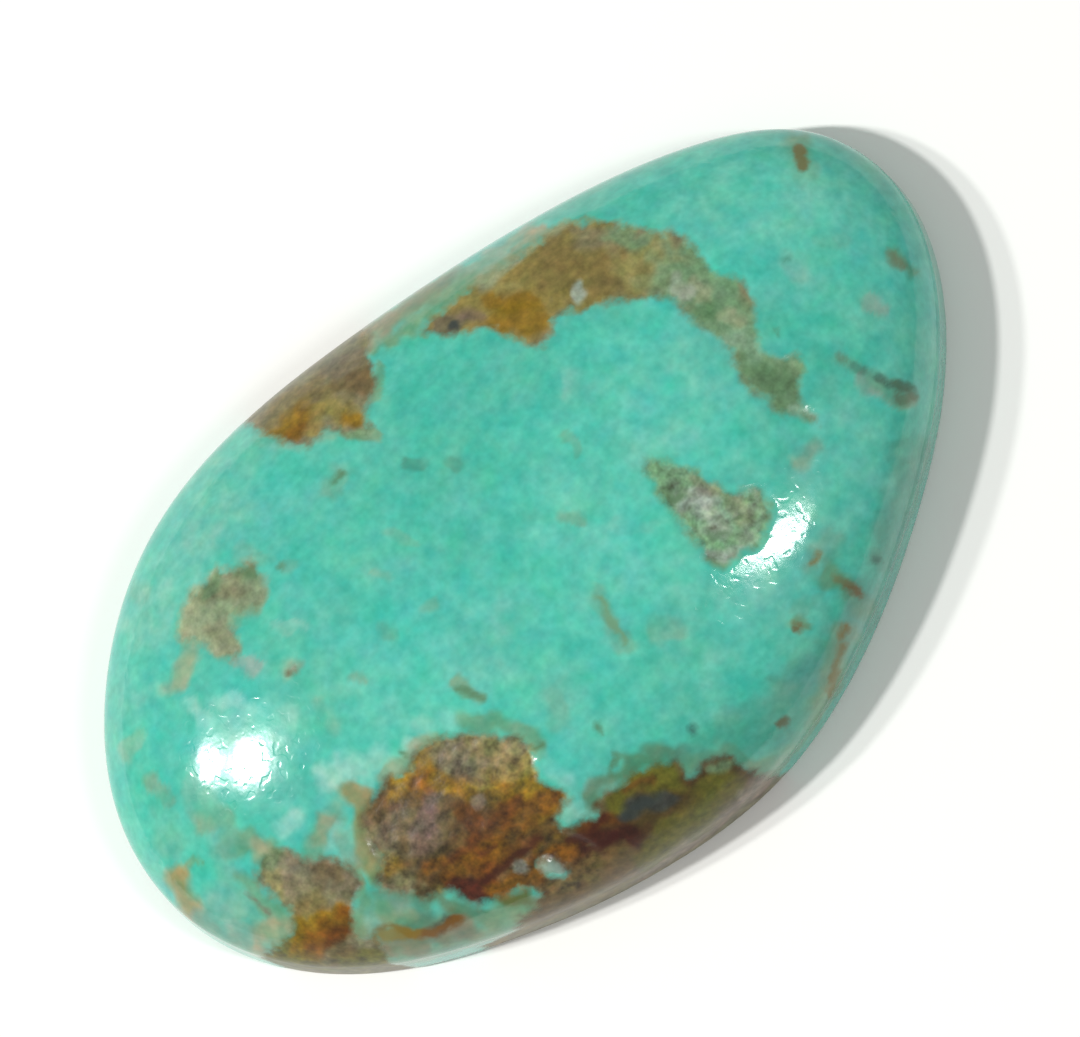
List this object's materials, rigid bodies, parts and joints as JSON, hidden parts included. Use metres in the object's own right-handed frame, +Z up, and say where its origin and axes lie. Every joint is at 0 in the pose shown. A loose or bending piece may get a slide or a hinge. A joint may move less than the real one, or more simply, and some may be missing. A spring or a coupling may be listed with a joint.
{
  "type": "polished turquoise nugget",
  "caption": "Polished, domed freeform turquoise nugget with brown limonite matrix patches, resting on its flat ground back.",
  "frame": {"origin": "the middle of the nugget's plan box, in the plane of its flat ground back", "axes": "+Z up from the flat back to the crown of the dome; +X along the long side, toward the narrower end; +Y across, toward the straighter long side"},
  "size_m": [0.038, 0.0234, 0.007],
  "materials": {
    "polished_turquoise": "gloss"
  },
  "bodies": {
    "root": {"turquoise_nugget": "polished_turquoise"}
  },
  "joints": []
}
